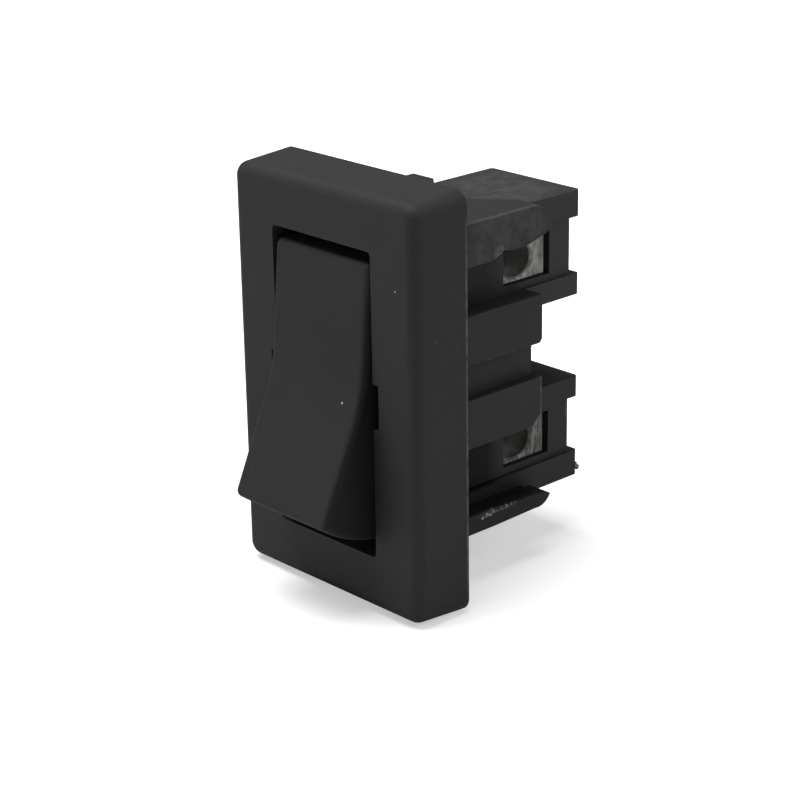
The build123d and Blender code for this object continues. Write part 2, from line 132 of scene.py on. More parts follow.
# Lowest and highest corner, in millimetres, of the box round the opening's lower edge
OPENING_EDGE = ((-4.71, -4.6, -10.3), (4.71, -0.7, -9.93))
# A wire hole's middle, in millimetres: behind the bezel, and above or below the switch's middle
WIRE_HOLE = (9.42, 6.5)
# Soft lamps: the setting that holds the power, then place and width in metres
LAMPS = (
    ("top", (-0.06, -0.05, 0.34), 0.26),
    ("front", (-0.20, -0.28, 0.03), 0.22),
    ("right", (0.27, 0.14, 0.17), 0.22),
)
LAMP_TARGET = (0, 5 * MM, 0)


# Property helpers

def length(name, description, millimetres):
    """A size, given here in millimetres and kept in metres."""
    return FloatProperty(
        name=name, description=description, default=millimetres * MM, unit="LENGTH", precision=6)


def share(name, description, value):
    """A plain factor from 0 to 1."""
    return FloatProperty(
        name=name, description=description, default=value, min=0.0, max=1.0, subtype="FACTOR")


def amount(name, description, value):
    """A plain number of no unit."""
    return FloatProperty(name=name, description=description, default=value)


def angle(name, description, degrees):
    """An angle, given here in degrees."""
    return FloatProperty(
        name=name, description=description, default=math.radians(degrees), subtype="ANGLE")


def tint(name, description, colour):
    """A linear colour."""
    return FloatVectorProperty(
        name=name, description=description, default=colour, size=3, min=0.0, max=1.0, subtype="COLOR")


def spot(name, description, x, y, z):
    """A place in the switch's frame, given here in millimetres."""
    return FloatVectorProperty(
        name=name, description=description, default=(x * MM, y * MM, z * MM), size=3,
        subtype="TRANSLATION", unit="LENGTH", precision=6)


# Sizes and colours that a user would change

class HousingFinish(bpy.types.PropertyGroup):
    """Bezel and housing, one black moulding"""

    opening_slack: length("Opening slack", "Room added under the rocker's lower end", 0.25)
    # Strength of the painted shade in the recesses
    painted_shade_strength: share("Painted shade", "How much the recesses are darkened", 0.9)
    colour: tint("Colour", "Plastic between the scuffs", (0.0150, 0.0150, 0.0152))
    pale: tint("Pale colour", "Handled and dusty patches", (0.0225, 0.0225, 0.0227))
    roughness: share("Roughness", "Shine of the moulded skin", 0.72)
    gloss: share("Gloss", "Strength of reflections", 0.36)
    grain: length("Grain size", "Size of the texture left by the eroded mould", 0.16)
    grain_depth: length("Grain depth", "Height of that texture", 0.0022)
    edge_radius: length("Edge softness", "Radius left on sharp moulded edges", 0.11)
    # Edges painted paler, for rub and for highlight
    rub_and_highlight: share("Edge rub", "How much paler the rubbed edges are", 0.5)
    # Colour of the pale marks, painted highlights among them
    pale_mark_tint: tint("Pale mark colour", "Stressed and scraped plastic", (0.13, 0.13, 0.128))
    dust_spot: spot("Dust spot", "Bright speck on the bezel's front", 6.96, -4.55, 8.2)
    dust_radius: length("Dust radius", "Half width of the specks", 0.07)


class RockerFinish(bpy.types.PropertyGroup):
    """Black rocker"""

    # Strength of the painted shade on the sides
    painted_shade_strength: share("Painted shade", "How much the sides are darkened", 0.9)
    colour: tint("Colour", "Plastic between the scuffs", (0.0102, 0.0102, 0.0104))
    pale: tint("Pale colour", "Where fingers have polished and soiled it", (0.0152, 0.0152, 0.0154))
    roughness: share("Roughness", "Shine of the moulded skin", 0.7)
    gloss: share("Gloss", "Strength of reflections", 0.36)
    grain: length("Grain size", "Size of the texture left by the eroded mould", 0.16)
    grain_depth: length("Grain depth", "Height of that texture", 0.002)
    edge_radius: length("Edge softness", "Radius left on sharp moulded edges", 0.08)
    # Edges painted paler, for rub and for highlight
    rub_and_highlight: share("Edge rub", "How much paler the rubbed edges are", 0.7)
    pale_mark_tint: tint("Pale mark colour", "Stressed and scraped plastic", (0.13, 0.13, 0.128))
    dust_spot: spot("Dust spot", "Bright speck on the rocker's front", 2.96, -5.6, 0.12)
    dust_radius: length("Dust radius", "Half width of the specks", 0.1)


class BaseFinish(bpy.types.PropertyGroup):
    """Black contact base behind the bezel"""

    colour: tint("Colour", "Plastic between the flow marks", (0.0155, 0.0155, 0.0157))
    pale: tint("Pale colour", "Flow marks and dust", (0.023, 0.023, 0.0232))
    roughness: share("Roughness", "Shine of the moulded skin", 0.66)
    gloss: share("Gloss", "Strength of reflections", 0.4)
    grain: length("Grain size", "Size of the mottling", 0.3)
    grain_depth: length("Grain depth", "Height of the mottling", 0.002)
    edge_radius: length("Edge softness", "Radius left on sharp moulded edges", 0.09)
    # Edges painted paler, for rub and for highlight
    rub_and_highlight: share("Edge rub", "How much paler the rubbed edges are", 0.4)
    pale_mark_tint: tint("Pale mark colour", "Stressed and scraped plastic", (0.13, 0.13, 0.128))
    crumb: tint("Crumb colour", "Pale plaster dust", (0.3, 0.3, 0.285))
    # Strength of the painted shade in the side recesses
    painted_shade_strength: share("Painted shade", "How much the side recesses are darkened", 0.8)


class MetalFinish(bpy.types.PropertyGroup):
    """Plated, stamped and turned metal inside"""

    nickel: tint("Terminal plating", "Dull nickel on the terminal blocks", (0.27, 0.266, 0.254))
    # The dark colour serves for tarnish and for the painted shade low down
    tarnish_and_shade: tint("Tarnish and shade", "Dark film in the plating's hollows", (0.082, 0.079, 0.072))
    steel: tint("Screw steel", "Zinc-plated steel", (0.52, 0.53, 0.54))
    brass: tint("Strip brass", "Stamped brass", (0.72, 0.52, 0.25))
    copper: tint("Blade copper", "Spring copper alloy", (0.74, 0.42, 0.24))
    silver: tint("Contact silver", "Silver alloy", (0.82, 0.81, 0.78))
    wire: tint("Spring wire", "Drawn steel wire", (0.42, 0.42, 0.43))
    edge_radius: length("Edge softness", "Radius left on cut metal edges", 0.06)
    # Paler colour painted inside the wire holes in place of light
    hole_painted_light: tint("Hole painted light", "Dull film inside the wire hole", (0.3, 0.296, 0.285))
    travel: length("Plunger travel", "How far the plunger is pushed in", 0.6)
    hole_shift: length("Hole shift", "How far the wire hole's middle is moved back", 0.2)
    hole_reach: length("Hole reach", "Radius within which the wire hole is widened", 1.45)
    hole_stretch: amount("Hole stretch", "How much wider the wire hole gets from front to back", 1.16)
    drawing: length("Drawn grain", "Width of the marks along the drawn blocks", 0.05)
    nylon: tint("Plunger nylon", "Undyed nylon", (0.70, 0.67, 0.60))


class ScrewSizes(bpy.types.PropertyGroup):
    """Terminal screws"""

    pitch: length("Pitch", "Distance between two threads", 0.4)
    depth: length("Thread depth", "Height of the thread over its core", 0.17)
    runout: length("Runout", "Length of the tapered tip", 0.35)
    steps: IntProperty(name="Steps", description="Faces round one turn", default=36, min=12)


class StageSettings(bpy.types.PropertyGroup):
    """Floor, lamps and camera"""

    azimuth: angle("Azimuth", "Camera's turn round the switch", 47.2206)
    elevation: angle("Elevation", "Camera's height over the horizon", 20.3086)
    roll: angle("Roll", "Camera's lean", -0.9575)
    distance: length("Distance", "From the lens to the origin's plane", 148.837)
    offset_right: length("Offset right", "Lens shifted to its right", 1.587)
    offset_up: length("Offset up", "Lens shifted up", -1.82)
    focal: amount("Focal length", "In millimetres, for a sensor 36 mm wide", 100.937)
    ambient: amount("Room light", "Strength of the room's even light", 0.11)
    gloss: amount("Room in gloss", "Strength of the room in reflections", 0.14)
    top: amount("Top lamp", "Power in watts", 1.6)
    front: amount("Front lamp", "Power in watts", 0.37)
    right: amount("Right lamp", "Power in watts", 0.41)
    paper: tint("Floor", "Pale paper", (0.82, 0.82, 0.82))
    clear_from: length("Clear from", "Where the floor starts to fade into white", 70)
    clear_to: length("Clear to", "Where the floor has gone white", 180)
    glow: share("Floor glow", "Light that the floor gives off near the switch", 0.45)
    bounce: tint("Floor bounce", "Paper as the switch is lit by it", (0.68, 0.68, 0.68))


# Shader helpers

def put(tree, kind, inputs=None, **settings):
    """Adds a shader node, with inputs filled by values or by other nodes' outputs."""
    item = tree.nodes.new(kind)
    for key, value in settings.items():
        setattr(item, key, value)
    for key, value in (inputs or {}).items():
        if isinstance(value, bpy.types.NodeSocket):
            tree.links.new(value, item.inputs[key])
        else:
            item.inputs[key].default_value = value
    return item


def blank_material(name):
    """A material with a Principled shader and Object coordinates."""
    material = bpy.data.materials.new(name)
    material.use_nodes = True
    tree = material.node_tree
    tree.nodes.clear()
    shader = put(tree, "ShaderNodeBsdfPrincipled")
    put(tree, "ShaderNodeOutputMaterial", {"Surface": shader.outputs["BSDF"]})
    place = put(tree, "ShaderNodeTexCoord").outputs["Object"]
    return material, tree, shader, place


def noise(tree, place, size, detail=2.0, rough=0.5):
    """Noise whose lumps are about size across."""
    item = put(tree, "ShaderNodeTexNoise", {
        "Vector": place, "Scale": 1.0 / size, "Detail": detail, "Roughness": rough})
    return item.outputs["Fac"]


def ramp(tree, value, low, high, start=0.0, stop=1.0):
    """Value from low to high, mapped to start to stop and held there."""
    item = put(tree, "ShaderNodeMapRange", {
        "Value": value, "From Min": low, "From Max": high, "To Min": start, "To Max": stop})
    return item.outputs["Result"]


def maths(tree, operation, first, second):
    """Two numbers put together."""
    item = put(tree, "ShaderNodeMath", {0: first, 1: second}, operation=operation, use_clamp=True)
    return item.outputs["Value"]


def tone(colour):
    """A colour with its alpha."""
    return (*colour, 1.0)


def mixed(tree, factor, first, second):
    """One colour going over into another."""
    values = {0: factor}
    for key, value in ((6, first), (7, second)):
        values[key] = value if isinstance(value, bpy.types.NodeSocket) else tone(value)
    return put(tree, "ShaderNodeMix", values, data_type="RGBA").outputs[2]


def stretched(tree, place, scale):
    """Coordinates squeezed along each axis, for grain that runs one way."""
    return put(tree, "ShaderNodeMapping", {"Vector": place, "Scale": scale}).outputs["Vector"]


def round_spot(tree, place, centre, radius):
    """One inside a small ball round centre, with a soft rim."""
    away = put(tree, "ShaderNodeVectorMath", {0: place, 1: centre}, operation="DISTANCE")
    return ramp(tree, away.outputs["Value"], radius * 0.6, radius, 1.0, 0.0)


def soft_box(tree, place, centre, half):
    """One inside a box given in millimetres, falling off towards its sides."""
    away = place
    for operation, size in (("SUBTRACT", centre), ("DIVIDE", half)):
        step = {0: away, 1: [side * MM for side in size]}
        away = put(tree, "ShaderNodeVectorMath", step, operation=operation).outputs["Vector"]
    away = put(tree, "ShaderNodeVectorMath", {0: away}, operation="ABSOLUTE").outputs["Vector"]
    sides = put(tree, "ShaderNodeSeparateXYZ", {"Vector": away}).outputs
    flat = maths(tree, "MULTIPLY", ramp(tree, sides["X"], 1.0, 0.6), ramp(tree, sides["Y"], 1.0, 0.6))
    return maths(tree, "MULTIPLY", flat, ramp(tree, sides["Z"], 1.0, 0.85))


def edge_mask(tree, radius):
    """One on rounded edges and corners, nothing on flats."""
    soft = put(tree, "ShaderNodeBevel", {"Radius": radius}, samples=4).outputs["Normal"]
    flat = put(tree, "ShaderNodeNewGeometry").outputs["Normal"]
    along = put(tree, "ShaderNodeVectorMath", {0: soft, 1: flat}, operation="DOT_PRODUCT")
    return ramp(tree, along.outputs["Value"], 0.995, 0.93)


def height(tree, value, depth, under=None):
    """Bump of a real depth in metres, over any bump given as under."""
    inputs = {"Height": value, "Distance": depth, "Strength": 1.0}
    if under is not None:
        inputs["Normal"] = under
    return put(tree, "ShaderNodeBump", inputs).outputs["Normal"]


# Materials

def moulded_plastic(name, finish, pale_marks, shade):
    """Matt black moulding: eroded grain, faint mottling, edges paler from rub and painted highlight,
    pale marks of wear and painted highlight, painted shade, pinhead dust.
    """
    material, tree, shader, place = blank_material(name)
    patches = ramp(tree, noise(tree, place, 5.2 * MM, 4.0, 0.6), 0.42, 0.68)
    freckles = ramp(tree, noise(tree, place, 0.34 * MM, 2.0, 0.7), 0.60, 0.74)
    colour = mixed(tree, maths(tree, "MULTIPLY", patches, 0.6), finish.colour, finish.pale)
    colour = mixed(tree, maths(tree, "MULTIPLY", freckles, 0.35), colour, finish.pale)
    # Paler edges: rub wear and painted highlight along the moulded edges
    rubbed_and_highlit = maths(tree, "MULTIPLY", edge_mask(tree, finish.edge_radius * 1.6), finish.rub_and_highlight)
    ragged = maths(tree, "MULTIPLY", rubbed_and_highlit, ramp(tree, noise(tree, place, 0.7 * MM, 3.0), 0.35, 0.65))
    colour = mixed(tree, ragged, colour, [4.0 * channel for channel in finish.colour])
    streaks = ramp(tree, noise(tree, place, 0.9 * MM, 5.0, 0.7), 0.3, 0.62)
    for centre, half, strength in pale_marks:
        paled = maths(tree, "MULTIPLY", soft_box(tree, place, centre, half), streaks)
        colour = mixed(tree, maths(tree, "MULTIPLY", paled, strength), colour, finish.pale_mark_tint)
    pin = put(tree, "ShaderNodeTexVoronoi", {"Vector": place, "Scale": 1.0 / (1.1 * MM)})
    chosen = put(tree, "ShaderNodeSeparateColor", {"Color": pin.outputs["Color"]}).outputs["Red"]
    dots = ramp(tree, pin.outputs["Distance"], 0.045, 0.02)
    dots = maths(tree, "MULTIPLY", dots, ramp(tree, chosen, 0.86, 0.88))
    colour = mixed(tree, maths(tree, "MULTIPLY", dots, 0.55), colour, PINHEAD_DUST)
    if hasattr(finish, "dust_spot"):
        dust = round_spot(tree, place, finish.dust_spot, finish.dust_radius)
        colour = mixed(tree, dust, colour, BRIGHT_SPECK)
    unshaded = 1.0
    # Painted shade: each box darkens the colour and the gloss
    for centre, half, strength in shade:
        painted_shade = maths(tree, "MULTIPLY", soft_box(tree, place, centre, half), strength * finish.painted_shade_strength)
        unshaded = maths(tree, "SUBTRACT", unshaded, painted_shade)
    tree.links.new(mixed(tree, unshaded, BLACK, colour), shader.inputs["Base Color"])
    gloss = maths(tree, "MULTIPLY", unshaded, finish.gloss)
    tree.links.new(gloss, shader.inputs["Specular IOR Level"])
    shine = ramp(tree, patches, 0.0, 1.0, finish.roughness, finish.roughness + 0.09)
    tree.links.new(shine, shader.inputs["Roughness"])
    grain = noise(tree, place, finish.grain, 3.0, 0.55)
    sag = noise(tree, place, 2.4 * MM, 1.0)
    bump = height(tree, sag, 0.012 * MM)
    tree.links.new(height(tree, grain, finish.grain_depth, bump), shader.inputs["Normal"])
    return material


def plated_block(name, metal):
    """Dull nickel over drawn brass: streaks of tarnish, painted shade that darkens the lower block, and
    painted light inside the wire holes.
    """
    material, tree, shader, place = blank_material(name)
    drawn = noise(tree, stretched(tree, place, (1.0, 1.0, 0.1)), metal.drawing, 3.0)
    streaks = noise(tree, stretched(tree, place, (1.0, 1.0, 0.16)), 0.3 * MM, 3.0)
    cloud = noise(tree, place, 0.9 * MM, 4.0, 0.65)
    both = maths(tree, "ADD", maths(tree, "MULTIPLY", streaks, 0.5), maths(tree, "MULTIPLY", cloud, 0.5))
    cloud = ramp(tree, both, 0.42, 0.6)
    high = put(tree, "ShaderNodeSeparateXYZ", {"Vector": place}).outputs["Z"]
    colouring = maths(tree, "MULTIPLY", cloud, 0.6)
    # Painted shade: more of the dark colour low down, so the lower block is darker
    colouring = maths(tree, "ADD", colouring, ramp(tree, high, 4 * MM, -4 * MM, 0.0, 0.52))
    colour = mixed(tree, colouring, metal.nickel, metal.tarnish_and_shade)
    middle, rise = WIRE_HOLE
    middle += metal.hole_shift / MM
    room = (3.55, 2.1, 1.7)
    bores = [soft_box(tree, place, (0.0, middle, side), room) for side in (rise, -rise)]
    bore = maths(tree, "ADD", *bores)
    # Painted light: the shaded inside of the wire holes made paler and less metallic
    tree.links.new(mixed(tree, bore, colour, metal.hole_painted_light), shader.inputs["Base Color"])
    tree.links.new(ramp(tree, cloud, 0.0, 1.0, 0.4, 0.62), shader.inputs["Roughness"])
    tree.links.new(height(tree, drawn, 0.0035 * MM), shader.inputs["Normal"])
    tree.links.new(ramp(tree, bore, 0.0, 1.0, 0.86, 0.1), shader.inputs["Metallic"])
    return material


def stamped_metal(name, colour, roughness, grain):
    """Stamped or turned metal: clean colour, faint handling marks."""
    material, tree, shader, place = blank_material(name)
    marks = ramp(tree, noise(tree, place, 0.5 * MM, 4.0, 0.6), 0.4, 0.75)
    dulled = [0.72 * channel for channel in colour]
    tree.links.new(mixed(tree, marks, colour, dulled), shader.inputs["Base Color"])
    tree.links.new(ramp(tree, marks, 0.0, 1.0, roughness, roughness + 0.15), shader.inputs["Roughness"])
    fine = noise(tree, stretched(tree, place, (1.0, 1.0, 0.15)), grain, 2.0)
    tree.links.new(height(tree, fine, 0.002 * MM), shader.inputs["Normal"])
    shader.inputs["Metallic"].default_value = 1.0
    return material


def crumbly_dust(name, colour):
    """Dry pale dust with darker pits."""
    material, tree, shader, place = blank_material(name)
    pits = ramp(tree, noise(tree, place, 0.08 * MM, 3.0), 0.4, 0.6)
    tree.links.new(mixed(tree, pits, [0.25 * channel for channel in colour], colour),
                   shader.inputs["Base Color"])
    shader.inputs["Roughness"].default_value = 0.9
    return material


def natural_nylon(name, colour):
    """Milky undyed nylon."""
    material, tree, shader, place = blank_material(name)
    cloud = ramp(tree, noise(tree, place, 0.8 * MM, 2.0), 0.35, 0.7)
    yellowed = [channel * share_left for channel, share_left in zip(colour, (0.95, 0.9, 0.8))]
    tree.links.new(mixed(tree, cloud, colour, yellowed), shader.inputs["Base Color"])
    tree.links.new(height(tree, noise(tree, place, 0.1 * MM, 2.0), 0.001 * MM), shader.inputs["Normal"])
    shader.inputs["Roughness"].default_value = 0.38
    shader.inputs["Subsurface Weight"].default_value = 0.25
    shader.inputs["Subsurface Radius"].default_value = (0.6, 0.5, 0.4)
    shader.inputs["Subsurface Scale"].default_value = 0.5 * MM
    return material


# Mesh helpers

def merged_copy(node):
    """The node's mesh as a closed bmesh, with its flat areas made one face each."""
    shape = bmesh.new()
    shape.from_mesh(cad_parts[node].data)
    bmesh.ops.remove_doubles(shape, verts=shape.verts, dist=MERGE_DISTANCE)
    bmesh.ops.dissolve_limit(shape, angle_limit=FLAT_ANGLE, verts=shape.verts, edges=shape.edges)
    return shape


def new_piece(name, shape, material, body):
    """Turns a bmesh into a piece that rides on a body."""
    mesh = bpy.data.meshes.new(name)
    shape.to_mesh(mesh)
    shape.free()
    mesh.shade_smooth()
    mesh.materials.append(material)
    piece = bpy.data.objects.new(name, mesh)
    bpy.context.scene.collection.objects.link(piece)
    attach(piece, body)
    return piece


def soften_edges(piece, radius):
    """Small radii on the sharp edges, with the flats kept flat."""
    bevel = piece.modifiers.new("Edge radius", "BEVEL")
    bevel.limit_method = "ANGLE"
    bevel.angle_limit = SHARP_ANGLE
    bevel.width = radius
    bevel.segments = 2
    bevel.harden_normals = True
    bevel.use_clamp_overlap = True
    bevel.miter_outer = "MITER_SHARP"
    weighted = piece.modifiers.new("Flat shading", "WEIGHTED_NORMAL")
    weighted.keep_sharp = True


def lower_opening_edge(shape, slack):
    """Moves the lower edge of the rocker's opening down."""
    low, high = OPENING_EDGE
    for vert in shape.verts:
        if all(a * MM < value < b * MM for value, a, b in zip(vert.co, low, high)):
            vert.co.z -= slack


def widen_wire_hole(shape, metal):
    """Widens a block's wire hole towards the back."""
    middle, rise = WIRE_HOLE
    for vert in shape.verts:
        back = vert.co.y - middle * MM
        if math.hypot(back, abs(vert.co.z) - rise * MM) < metal.hole_reach:
            vert.co.y += back * (metal.hole_stretch - 1) + metal.hole_shift


def soft_moulding(name, node, shape, radius, material, body):
    """A copy of a node's shape with softened edges, standing in for it."""
    piece = new_piece(name, shape, material, body)
    soften_edges(piece, radius)
    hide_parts(node)


def uneven_tube(shape, points, half_width, seed):
    """Adds a closed, knobbly tube along a line of points."""
    sides = 6
    step = 0.09 * MM
    bend_size = 0.5 * MM
    knob_size = 0.2 * MM
    line = [Vector(point) * MM for point in points]
    stops = []
    for start, stop in zip(line, line[1:]):
        count = max(2, round((stop - start).length / step))
        stops += [(start.lerp(stop, k / count), (stop - start).normalized()) for k in range(count)]
    stops.append((line[-1], (line[-1] - line[-2]).normalized()))
    rings = []
    for index, (middle, along) in enumerate(stops):
        first = along.orthogonal().normalized()
        second = along.cross(first)
        end = min(index, len(stops) - 1 - index)
        fade = min(1.0, 0.35 + 0.2 * end)
        sway = lumps.noise_vector(middle / bend_size + Vector((seed, 0, 0))) * half_width * 0.4
        ring = []
        for k in range(sides):
            turn = 2 * math.pi * k / sides
            side = first * math.cos(turn) + second * math.sin(turn)
            knob = (middle + side * half_width) / knob_size + Vector((0, seed, 0))
            swell = 1.0 + 0.5 * lumps.noise(knob)
            ring.append(shape.verts.new(middle + sway + side * half_width * fade * swell))
        rings.append(ring)
    for ring, following in zip(rings, rings[1:]):
        for k in range(sides):
            other = (k + 1) % sides
            shape.faces.new((ring[k], ring[other], following[other], following[k]))
    shape.faces.new(reversed(rings[0]))
    shape.faces.new(rings[-1])


def add_crumb(shape, centre, size, seed):
    """Adds a small lump of broken plaster, partly sunk in what it sits on."""
    made = bmesh.ops.create_icosphere(shape, subdivisions=2, radius=size / 2)["verts"]
    for vert in made:
        grow = 1.0 + 0.45 * lumps.noise(vert.co / (size * 0.45) + Vector((seed, seed, 0)))
        vert.co = vert.co * grow + centre


def add_thread(shape, sizes, centre_z, tip, end, outer):
    """Adds the threaded shank of a screw whose axis runs along y."""
    rows = round((end - tip) / (sizes.pitch / 8))
    steepness = 1.25
    tip_depth = sizes.depth * 1.6
    rings = []
    for row in range(rows + 1):
        y = tip + (end - tip) * row / rows
        ring = []
        for k in range(sizes.steps):
            share_of_turn = k / sizes.steps
            phase = (y / sizes.pitch - share_of_turn) % 1.0
            crest = max(0.0, 1.0 - abs(2.0 * phase - 1.0) * steepness)
            radius = outer - sizes.depth * (1.0 - crest)
            taper = 1.0 - min(1.0, (y - tip) / sizes.runout)
            radius = min(radius, outer - tip_depth * taper)
            turn = 2 * math.pi * share_of_turn
            across, up = radius * math.cos(turn), radius * math.sin(turn)
            ring.append(shape.verts.new((across, y, centre_z + up)))
        rings.append(ring)
    for ring, following in zip(rings, rings[1:]):
        for k in range(sizes.steps):
            other = (k + 1) % sizes.steps
            shape.faces.new((ring[k], ring[other], following[other], following[k]))
    shape.faces.new(reversed(rings[0]))
    shape.faces.new(rings[-1])


def screw_with_thread(node, sizes):
    """The node's own head with its slot, and a shank with a real thread."""
    shape = bmesh.new()
    shape.from_mesh(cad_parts[node].data)
    bmesh.ops.remove_doubles(shape, verts=shape.verts, dist=MERGE_DISTANCE)
    tip = min(vert.co.y for vert in shape.verts)
    near_tip = tip + 1.0 * MM
    outer = max(abs(vert.co.x) for vert in shape.verts if vert.co.y < near_tip)
    wider = outer + 0.05 * MM
    head_front = min(vert.co.y for vert in shape.verts if abs(vert.co.x) > wider)
    heights = [vert.co.z for vert in shape.verts]
    centre_z = (min(heights) + max(heights)) / 2
    everything = shape.verts[:] + shape.edges[:] + shape.faces[:]
    cut = (0, head_front + 0.02 * MM, 0)
    sunk_end = head_front + 0.06 * MM
    bmesh.ops.bisect_plane(shape, geom=everything, plane_co=cut, plane_no=(0, 1, 0), clear_inner=True)
    bmesh.ops.holes_fill(shape, edges=[edge for edge in shape.edges if edge.is_boundary])
    bmesh.ops.dissolve_limit(shape, angle_limit=FLAT_ANGLE, verts=shape.verts, edges=shape.edges)
    add_thread(shape, sizes, centre_z, tip, sunk_end, outer)
    bmesh.ops.recalc_face_normals(shape, faces=shape.faces)
    return shape


def dress(node, material):
    """Gives a CAD node its finish."""
    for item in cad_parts[node].material_slots:
        item.link = "OBJECT"
        item.material = material


# Stage helpers

def camera_axes(stage):
    """The camera's right, up and back directions."""
    across = math.cos(stage.elevation)
    back = Vector((math.sin(stage.azimuth) * across, -math.cos(stage.azimuth) * across,
                   math.sin(stage.elevation)))
    right = (-back).cross(Vector((0, 0, 1))).normalized()
    up = right.cross(-back)
    turned_right = math.cos(stage.roll) * right + math.sin(stage.roll) * up
    turned_up = -math.sin(stage.roll) * right + math.cos(stage.roll) * up
    return right, up, back, turned_right, turned_up


def area_lamp(name, place, size, watts):
    """A square soft lamp aimed at the switch."""
    light = bpy.data.lights.new(name, "AREA")
    light.shape = "SQUARE"
    light.size = size
    light.energy = watts
    lamp = bpy.data.objects.new(name, light)
    lamp.location = place
    lamp.rotation_euler = (Vector(LAMP_TARGET) - Vector(place)).to_track_quat("-Z", "Y").to_euler()
    bpy.context.scene.collection.objects.link(lamp)


# Operators

class SWITCH_OT_mould_housing(bpy.types.Operator):
    """Mould the bezel and housing"""

    bl_idname = "switch.mould_housing"
    bl_label = "Housing"

    def execute(self, context):
        finish = context.scene.switch_housing
        material = moulded_plastic("black_housing_plastic", finish, HOUSING_PALE_MARKS, HOUSING_SHADE)
        shape = merged_copy("bezel_housing")
        lower_opening_edge(shape, finish.opening_slack)
        soft_moulding("bezel_and_housing", "bezel_housing", shape, finish.edge_radius,
                      material, "housing")
        lips = bmesh.new()
        lumps.seed_set(LIP_SEED)
        for seed, (points, half_width) in enumerate(TORN_LIPS):
            uneven_tube(lips, points, half_width * MM, seed)
        new_piece("torn_ear_lips", lips, material, "housing")
        return {"FINISHED"}


class SWITCH_OT_mould_rocker(bpy.types.Operator):
    """Mould the rocker"""

    bl_idname = "switch.mould_rocker"
    bl_label = "Rocker"

    def execute(self, context):
        finish = context.scene.switch_rocker
        material = moulded_plastic("black_rocker_plastic", finish, (), ROCKER_SHADE)
        soft_moulding("rocker_button", "rocker", merged_copy("rocker"), finish.edge_radius,
                      material, "rocker")
        return {"FINISHED"}


class SWITCH_OT_mould_base(bpy.types.Operator):
    """Mould the contact base"""

    bl_idname = "switch.mould_base"
    bl_label = "Contact base"

    def execute(self, context):
        finish = context.scene.switch_base
        material = moulded_plastic("black_base_plastic", finish, BASE_PALE_MARKS, BASE_SHADE)
        soft_moulding("terminal_base", "contact_base", merged_copy("contact_base"), finish.edge_radius,
                      material, "housing")
        return {"FINISHED"}


class SWITCH_OT_scatter_crumbs(bpy.types.Operator):
    """Stick the crumbs of old plaster on the housing"""

    bl_idname = "switch.scatter_crumbs"
    bl_label = "Crumbs"

    def execute(self, context):
        finish = context.scene.switch_base
        shape = bmesh.new()
        for seed, (centre, size) in enumerate(CRUMBS):
            add_crumb(shape, Vector(centre) * MM, size * MM, seed)
        new_piece("plaster_crumbs", shape, crumbly_dust("plaster_dust", finish.crumb), "housing")
        return {"FINISHED"}


class SWITCH_OT_plate_terminals(bpy.types.Operator):
    """Plate the two terminal blocks"""

    bl_idname = "switch.plate_terminals"
    bl_label = "Terminal blocks"

    def execute(self, context):
        metal = context.scene.switch_metal
        material = plated_block("dull_nickel", metal)
        for end in ("upper", "lower"):
            node = end + "_terminal_block"
            shape = merged_copy(node)
            widen_wire_hole(shape, metal)
            soft_moulding(end + "_clamp_block", node, shape, metal.edge_radius,
                          material, "housing")
        return {"FINISHED"}


class SWITCH_OT_cut_screws(bpy.types.Operator):
    """Cut the threads and heads of the terminal screws"""

    bl_idname = "switch.cut_screws"
    bl_label = "Terminal screws"

    def execute(self, context):
        metal = context.scene.switch_metal
        material = stamped_metal("zinc_plated_steel", metal.steel, 0.34, 0.06 * MM)
        for end in ("upper", "lower"):
            node = end + "_terminal_screw"
            shape = screw_with_thread(node, context.scene.switch_screws)
            piece = new_piece(end + "_clamp_screw", shape, material, end + "_screw")
            piece.data.set_sharp_from_angle(angle=SHARP_ANGLE)
            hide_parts(node)
        return {"FINISHED"}


class SWITCH_OT_stamp_contacts(bpy.types.Operator):
    """Stamp the strips, blade, rivets and contacts"""

    bl_idname = "switch.stamp_contacts"
    bl_label = "Contact parts"

    def execute(self, context):
        metal = context.scene.switch_metal
        brass = stamped_metal("stamped_brass", metal.brass, 0.3, 0.05 * MM)
        copper = stamped_metal("blade_copper_alloy", metal.copper, 0.28, 0.05 * MM)
        silver = stamped_metal("contact_silver_alloy", metal.silver, 0.22, 0.08 * MM)
        for node in ("upper_strip_rivet", "lower_strip_rivet", "fulcrum_strip", "fixed_contact_strip"):
            dress(node, brass)
        dress("contact_blade", copper)
        for node in ("fixed_contact", "moving_contact"):
            dress(node, silver)
        return {"FINISHED"}


class SWITCH_OT_fit_plunger(bpy.types.Operator):
    """Fit the plunger and its spring"""

    bl_idname = "switch.fit_plunger"
    bl_label = "Plunger and spring"

    def execute(self, context):
        metal = context.scene.switch_metal
        dress("plunger", natural_nylon("plunger_nylon", metal.nylon))
        steel = stamped_metal("spring_wire", metal.wire, 0.3, 0.04 * MM)
        shape = bmesh.new()
        shape.from_mesh(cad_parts["plunger_spring"].data)
        coil = new_piece("plunger_coil", shape, steel, "rocker")
        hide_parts("plunger_spring")
        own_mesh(coil)
        return {"FINISHED"}


